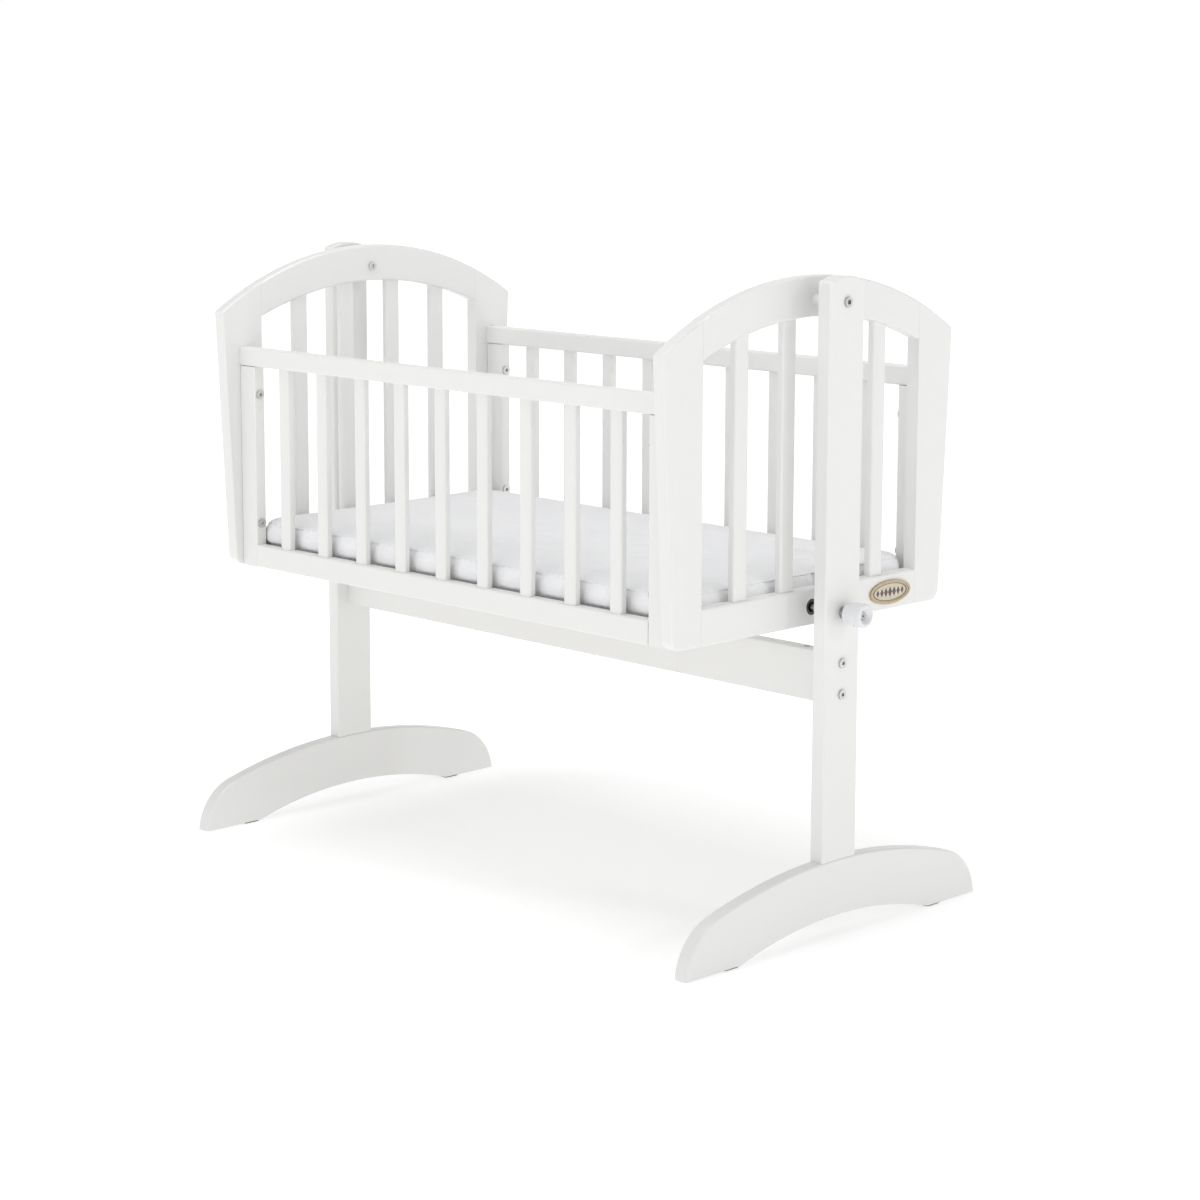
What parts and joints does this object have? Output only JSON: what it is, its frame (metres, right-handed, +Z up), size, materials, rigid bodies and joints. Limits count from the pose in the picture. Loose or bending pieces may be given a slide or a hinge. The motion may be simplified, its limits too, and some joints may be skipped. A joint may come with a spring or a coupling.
{
  "type": "baby crib",
  "caption": "White slatted swinging crib with arched ends, hung between two posts on curved feet, with a stretcher, a pull-out lock knob and a mattress.",
  "frame": {"origin": "on the floor, under the middle of the whole crib's length and width", "axes": "+X along the crib towards the end with the lock knob, +Y from the front side to the rear side, +Z up"},
  "size_m": [1.0628, 0.587, 0.8799],
  "materials": {
    "painted_wood": "white satin paint",
    "dowel_wood": "bare beech",
    "base_wood": "white-faced fibreboard",
    "zinc_steel": "zinc plated",
    "dark_plastic": "matte",
    "white_plastic": "matte",
    "knob_plastic": "semi-gloss",
    "badge_brass": "aged, lightly worn",
    "badge_paint": "satin enamel",
    "mattress_cloth": "soft woven ticking"
  },
  "bodies": {
    "stand": {"foot_left": "painted_wood", "foot_right": "painted_wood", "post_left": "painted_wood", "post_right": "painted_wood", "stretcher": "painted_wood", "stretcher_bolts": "zinc_steel", "stretcher_barrel_nuts": "zinc_steel", "foot_screws": "zinc_steel", "foot_glides": "dark_plastic", "pivot_bushes": "white_plastic", "lock_bush_post": "zinc_steel"},
    "crib": {"end_stile_left_front": "painted_wood", "end_stile_left_rear": "painted_wood", "end_arch_left": "painted_wood", "end_rail_left": "painted_wood", "end_slats_left": "painted_wood", "end_stile_right_front": "painted_wood", "end_stile_right_rear": "painted_wood", "end_arch_right": "painted_wood", "end_rail_right": "painted_wood", "end_slats_right": "painted_wood", "end_dowels": "dowel_wood", "side_stile_front_left": "painted_wood", "side_stile_front_right": "painted_wood", "side_top_rail_front": "painted_wood", "side_bottom_rail_front": "painted_wood", "side_slats_front": "painted_wood", "side_stile_rear_left": "painted_wood", "side_stile_rear_right": "painted_wood", "side_top_rail_rear": "painted_wood", "side_bottom_rail_rear": "painted_wood", "side_slats_rear": "painted_wood", "side_dowels": "dowel_wood", "side_bolts": "zinc_steel", "side_inserts": "zinc_steel", "base_board": "base_wood", "base_batten_front": "dowel_wood", "base_batten_rear": "dowel_wood", "batten_screws": "zinc_steel", "mattress": "mattress_cloth", "lock_bush_rail": "dark_plastic", "badge_rim": "badge_brass", "badge_plate": "badge_paint", "pivot_bolts": "zinc_steel", "pivot_nuts": "zinc_steel", "pivot_spacers": "white_plastic"},
    "lock": {"lock_pin": "zinc_steel", "lock_knob": "knob_plastic", "knob_screw": "zinc_steel"}
  },
  "joints": [
    {"name": "crib_swing", "type": "hinge", "parent": "stand", "child": "crib", "pos_m": [0, 0, 0.846], "axis": [1, 0, 0], "range_deg": [-12, 12]},
    {"name": "lock_slide", "type": "slide", "parent": "stand", "child": "lock", "axis": [1, 0, 0], "range_m": [0, 0.018]}
  ]
}
